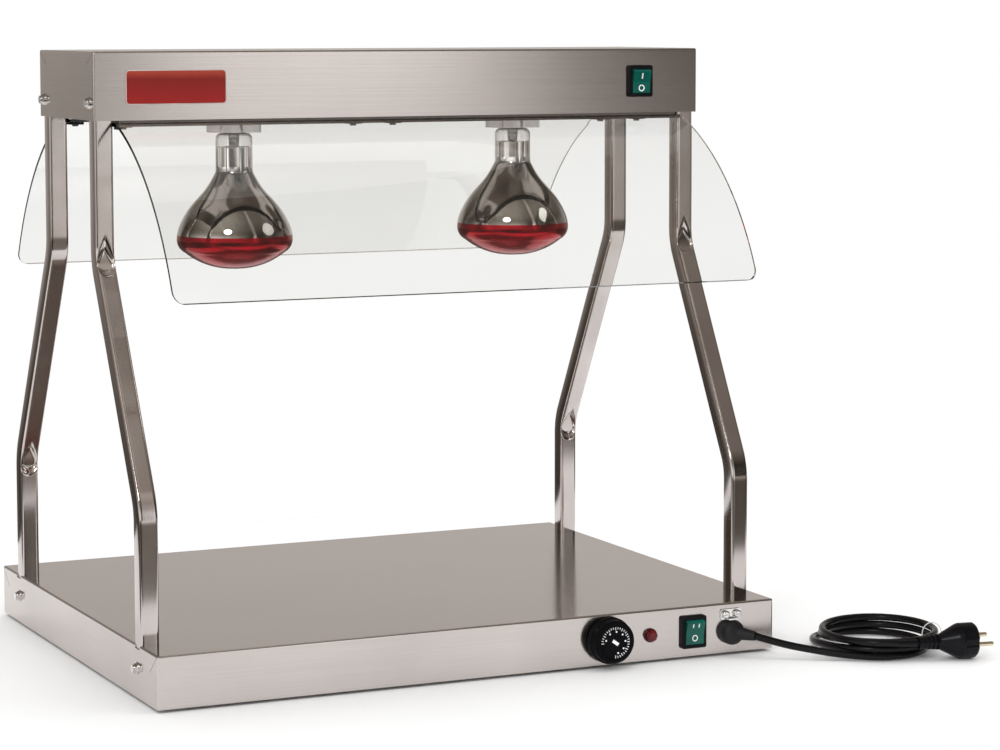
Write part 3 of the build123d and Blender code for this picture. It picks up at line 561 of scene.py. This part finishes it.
def knob_marks():
    """Dial marks round the face, dots inside them and a pointer mark in the middle."""
    parts = []
    for i in range(DIAL_MARKS):
        angle = math.radians(180 - DIAL_STEP * i)
        long = 3.2 if i % 3 == 0 else 2.2
        ends = [(r * math.cos(angle), r * math.sin(angle)) for r in (DIAL_RADIUS - long, DIAL_RADIUS)]
        parts.append(solid_strip(ends, 0.34, PRINT, on_knob))
    for i in range(DOTS):
        angle = math.radians(DOT_START - DOT_STEP * i)
        dot = circle(0.5, 10, (DOT_RING * math.cos(angle), DOT_RING * math.sin(angle)))
        parts.append(solid_strip(dot, 0.48, PRINT, on_knob, closed=True))
    across, up = math.cos(POINTER_SLOPE), math.sin(POINTER_SLOPE)
    bar = [(t * across, t * up) for t in (-4.0, -3.4, 0.0, 3.4, 4.0)]
    parts.append(solid_strip(bar, 1.7, PRINT + 0.03, on_knob))
    piece("knob_marks", *joined(parts), "white_print", "thermostat_knob", "knob_black")


def rocker_surface(middle):
    """A function for places on a rocker's hollow face: u to the right, v up along the face."""
    turn = Matrix.Rotation(ROCKER_TILT, 3, "X")

    def place(u, v, lift):
        return middle + turn @ Vector((u, -ROCKER_FACE - ROCKER_HOLLOW * abs(v) / ROCKER_HALF - lift, v))
    return place


def rocker_marks():
    """The usual on and off marks, a bar and a ring."""
    hood = rocker_surface(HOOD_SWITCH)
    parts = [solid_strip([(0, 10.2), (0, 7.0), (0, 3.8)], 0.75, PRINT, hood),
             solid_strip(circle(3.1, 28, (0, -6.6)), 0.55, PRINT, hood, closed=True)]
    piece("hood_rocker_marks", *joined(parts), "white_print", "hood_switch_rocker", "rocker_green")
    base = rocker_surface(BASE_SWITCH)
    parts = [solid_strip([(-3.4, 11.0), (-3.4, 6.8)], 0.6, PRINT, base),
             solid_strip([(3.4, 11.0), (3.4, 6.8)], 0.6, PRINT, base),
             solid_strip(circle(2.9, 28, (0, -5.2)), 0.5, PRINT, base, closed=True)]
    piece("base_rocker_marks", *joined(parts), "white_print", "base_switch_rocker", "rocker_green")


def badge_border():
    """Thin pale rim round the blank nameplate."""
    corners = ((BADGE_RIGHT, BADGE_HIGH), (BADGE_LEFT, BADGE_HIGH), (BADGE_LEFT, BADGE_LOW),
               (BADGE_RIGHT, BADGE_LOW))
    radius, path = BADGE_CORNER + RIM_OUT, []
    for quarter, (x, z) in enumerate(corners):
        cx = x - math.copysign(BADGE_CORNER, x - (BADGE_LEFT + BADGE_RIGHT) / 2)
        cz = z - math.copysign(BADGE_CORNER, z - (BADGE_LOW + BADGE_HIGH) / 2)
        for i in range(7):
            a = math.radians(90 * quarter + 15 * i)
            path.append((cx + radius * math.cos(a), cz + radius * math.sin(a)))

    def place(u, v, lift):
        return Vector((u, -HOOD_FACE - lift, v))
    rim = solid_strip(path, RIM_HALF, RIM_HEIGHT, place, closed=True)
    piece("badge_border", *rim, "pale_border", BODY, "badge_red")


# ---------------------------------------------------------------- cord
def between(stops, at):
    """Value at a place in a list of (place, value), straight between its stops."""
    for (a, low), (b, high) in zip(stops, stops[1:]):
        if at <= b:
            return low + (high - low) * (at - a) / (b - a)
    return stops[-1][1]


def coil_points():
    """Three loose turns, one on another, from where the loose stretch lands to the plug's lead."""
    points, slant = [], Matrix.Rotation(COIL_TURN, 3, "Z")
    steps = round(COIL_TURNS * COIL_STEPS)
    for i in range(1, steps + 1):
        turn = COIL_TURNS * i / steps
        angle = COIL_START + math.tau * turn
        opens = COIL_OPENS * smooth_step((turn - COIL_LEAVES) / (COIL_TURNS - COIL_LEAVES))
        size = 1.0 + COIL_WAVER * math.sin(COIL_WAVES * angle) + opens
        layer = sum(smooth_step((turn - a) / (b - a)) for a, b in COIL_LAYERS)
        r = Vector((size * COIL_RADII[0] * math.cos(angle), size * COIL_RADII[1] * math.sin(angle), 0))
        r.rotate(slant)
        shift = between(COIL_SHIFT, turn) * MM * SHIFT_WAY
        height = CORD_RADIUS + TABLE_GAP + LAYER_RISE * layer
        points.append(COIL_CENTRE + r + shift + Vector((0, 0, height)))
    return points


def cord_tie():
    """Thin white tie round the coil's turns, beside the plug."""
    turn = Matrix.Rotation(COIL_TURN, 3, "Z")
    middle = (COIL_CENTRE + turn @ Vector(TIE_PLACE)) / MM + Vector((0, 0, TIE_Z))
    across, count, sides = turn @ Vector((1, 0, 0)), 40, 8
    along = across.cross(Vector((0, 0, 1)))
    verts, faces = [], []
    for i in range(count):
        a = math.tau * i / count
        out = across * math.cos(a) + Vector((0, 0, math.sin(a)))
        ring = middle + across * (TIE_WIDE * math.cos(a)) + Vector((0, 0, TIE_HIGH * math.sin(a)))
        for k in range(sides):
            b = math.tau * k / sides
            verts.append(ring + TIE_THICK * (out * math.cos(b) + along * math.sin(b)))
    for i in range(count):
        here, after = i * sides, (i + 1) % count * sides
        for k in range(sides):
            j = (k + 1) % sides
            faces.append((here + k, here + j, after + j, after + k))
    return piece("cord_tie", verts, faces, "white_print", BODY, "thermostat_plastic", smooth=True)


def supply_cord():
    """The cord from the gland through its coil to the plug, with the tie round the coil."""
    points = [Vector(p) for p in CORD_ROUTE] + coil_points() + [Vector(PLUG_LEAD), Vector(PLUG_START)]
    curve = bpy.data.curves.new("supply_cord", "CURVE")
    curve.dimensions = "3D"
    spline = curve.splines.new("NURBS")
    spline.points.add(len(points) - 1)
    for point, place in zip(spline.points, points):
        point.co = (*place, 1)
    spline.order_u = 3
    spline.use_endpoint_u = True
    spline.resolution_u = 8
    curve.bevel_depth = CORD_RADIUS
    curve.bevel_resolution = 5
    curve.use_fill_caps = True
    cord = link("supply_cord", curve)
    paint(cord, "cord_black")
    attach(cord, BODY)
    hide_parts("power_cord", "cord_coil")
    tie = cord_tie()
    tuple(CORD_ROUTE[0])


# ---------------------------------------------------------------- camera, light and floor
def make_camera():
    """Camera at the viewing angle: turned to the right and slightly down."""
    data = bpy.data.cameras.new("camera")
    data.sensor_width, data.lens, data.shift_y = 36.0, CAMERA_LENS, CAMERA_SHIFT
    data.clip_start, data.clip_end = 0.1, 60
    camera = link("camera", data)
    turn = Matrix.Rotation(-CAMERA_YAW, 3, "Z") @ Matrix.Rotation(math.pi / 2 + CAMERA_PITCH, 3, "X")
    turn = turn @ Matrix.Rotation(CAMERA_ROLL, 3, "Z")
    camera.matrix_world = Matrix.Translation(CAMERA_PLACE) @ turn.to_4x4()
    bpy.context.scene.camera = camera


def area(name, place, size, power, shines=False):
    """Soft round light turned to the object's middle; only one that shines shows as a highlight."""
    data = bpy.data.lights.new(name, "AREA")
    data.shape, data.size, data.energy = "DISK", size, power
    lamp = link(name, data)
    lamp.visible_glossy = shines
    lamp.location = place
    lamp.rotation_mode = "QUATERNION"
    lamp.rotation_quaternion = (Vector((0, 0, 0.3)) - Vector(place)).to_track_quat("-Z", "Y")


def make_lights():
    """Key light from the front left, and soft fill from the right and from above."""
    area("key", (-1.9, -2.6, 2.3), size=0.9, power=26, shines=True)
    area("fill", (2.6, -1.8, 2.0), size=1.6, power=10)
    area("top", (0.2, 0.6, 3.2), size=2.4, power=16)


def make_floor():
    """White table top, which runs out into the white of the studio."""
    mesh = bpy.data.meshes.new("floor")
    mesh.from_pydata([(x, y, FLOOR_Z) for y in FLOOR_Y for x in FLOOR_X], [], [(0, 1, 3, 2)])
    floor = link("floor", mesh)
    sh = Shader("floor", Roughness=0.8)
    sh.set("Base Color", sh.ramp(sh.noise(sh.place(), 3.0), (0.3, (0.93,) * 3), (0.7, (0.95,) * 3)))
    floor.data.materials.append(sh.material)


# Brightness of the studio's walls in reflections, by direction round the object in degrees: 180 and
# -180 are behind it, -90 is to its left, 0 in front of it and 90 to its right
WALLS = [(-180, 0.60), (-164, 0.46), (-158, 0.28), (-152, 0.06), (-125, 0.10), (-80, 1.10), (-20, 1.10),
         (12, 0.06), (17.2, 0.12), (19.4, 1.60), (23.8, 1.60), (26.0, 0.30), (27.0, 0.02), (60, 0.06),
         (110, 0.30), (145, 0.72), (180, 0.66)]
# Share of it that is left at a height above the horizon, by the height's sine
SKY = [(0.0, 1.0), (0.16, 1.0), (0.30, 0.45), (0.45, 0.22), (0.62, 0.28), (0.78, 0.30), (0.92, 0.22),
       (1.0, 0.20)]
# The same below the horizon: by direction, and the share left by the depth's sine
LOW_WALLS = [(-180, 0.60), (-150, 0.20), (-118, 0.75), (-92, 0.10), (-62, 1.40), (-44, 0.08),
             (-12, 0.10), (6, 0.85), (20, 1.05), (25.5, 1.05), (28.0, 0.42), (35, 0.30), (44, 0.06),
             (66, 0.90), (84, 0.08), (125, 0.50), (180, 0.60)]
GROUND = [(0.0, 0.95), (0.055, 0.95), (0.10, 0.50), (0.15, 0.22), (1.0, 0.30)]
# Light from overhead, the same in all directions, by the height's sine
OVERHEAD = [(0.0, 0.0), (0.3, 0.02), (0.5, 0.13), (0.7, 0.24), (0.85, 0.20), (1.0, 0.16)]
BRIGHTEST = 1.6     # the ramps hold values up to 1, so brightness is kept in them as a share of this
HORIZON = -0.018    # sine of the height below which the lower tables hold


def graph(world, value, stops, brightest=1.0):
    """Brightness over a 0 to 1 value, as a share of the brightest; the darker, the warmer."""
    shares = [(at, level / brightest) for at, level in stops]
    return world.ramp(value, *((at, (share, share ** 1.06, share ** 1.12)) for at, share in shares))


def make_studio(world):
    """Brightness of the lit and dark walls that reflections see."""
    direction = world.node("ShaderNodeTexCoord").outputs["Generated"]
    x, y, z = world.node("ShaderNodeSeparateXYZ", {0: direction}).outputs
    angle = world.math("ARCTAN2", x, world.math("MULTIPLY", y, -1.0))
    turn = world.spread(angle, 0.0, 1.0, -math.pi, math.pi)
    walls, low_walls = (graph(world, turn, [((degrees + 180) / 360, level) for degrees, level in stops],
                              BRIGHTEST) for stops in (WALLS, LOW_WALLS))
    above = world.vector_math("MULTIPLY", walls, graph(world, z, SKY))
    above = world.vector_math("ADD", above, graph(world, z, OVERHEAD, BRIGHTEST))
    depth = world.math("MULTIPLY", z, -1.0)
    below = world.vector_math("MULTIPLY", low_walls, graph(world, depth, GROUND))
    studio = world.blend(world.math("GREATER_THAN", z, HORIZON), below, above)
    return world.vector_math("MULTIPLY", studio, (BRIGHTEST,) * 3)


def make_world():
    """Plain white where it is seen directly or lights matt surfaces, and the studio in reflections."""
    data = bpy.data.worlds.new("studio")
    data.use_nodes = True
    bpy.context.scene.world = data
    world = Nodes(data.node_tree)
    studio = make_studio(world)
    path = world.node("ShaderNodeLightPath").outputs
    # seen straight through glass, and not in a reflection that passes through it
    straight = world.math("LESS_THAN", path["Glossy Depth"], 0.5)
    through = world.math("MULTIPLY", path["Is Transmission Ray"], straight)
    plain = world.math("MAXIMUM", path["Is Camera Ray"], through)
    plain = world.math("MAXIMUM", plain, path["Is Diffuse Ray"])
    world.put(world.tree.nodes["Background"].inputs["Color"], world.blend(plain, studio, (1, 1, 1, 1)))


for node_name, node_object in NODES.items():
    paint(node_object, SLOT[node_name])
make_legs()
knob_marks()
rocker_marks()
badge_border()
supply_cord()

make_camera()
make_floor()
make_world()
make_lights()
bpy.context.scene.view_settings.view_transform = "Standard"
